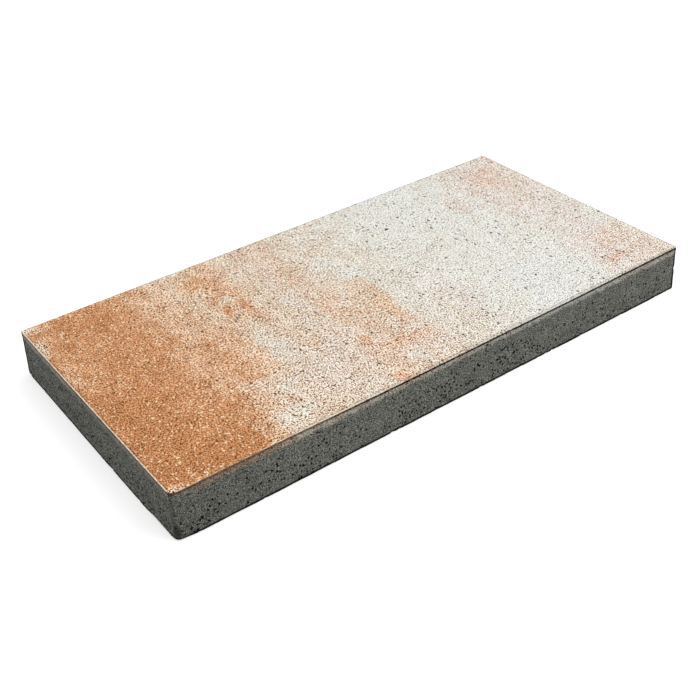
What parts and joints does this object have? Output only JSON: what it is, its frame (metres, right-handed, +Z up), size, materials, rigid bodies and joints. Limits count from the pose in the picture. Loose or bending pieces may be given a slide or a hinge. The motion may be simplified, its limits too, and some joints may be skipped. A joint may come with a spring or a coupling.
{
  "type": "concrete paving slab",
  "caption": "Flat oblong concrete paving slab with a mottled buff and cream wearing face, bevelled upper edge, rounded upright corners and rough grey sides that lean in a little.",
  "frame": {"origin": "centre of the underside, the face that lies on the bed", "axes": "+X along the length, +Y across the width, +Z up through the thickness to the paving face"},
  "size_m": [0.6, 0.3, 0.05],
  "materials": {
    "concrete": "matt"
  },
  "bodies": {
    "root": {"paving_slab": "concrete"}
  },
  "joints": []
}
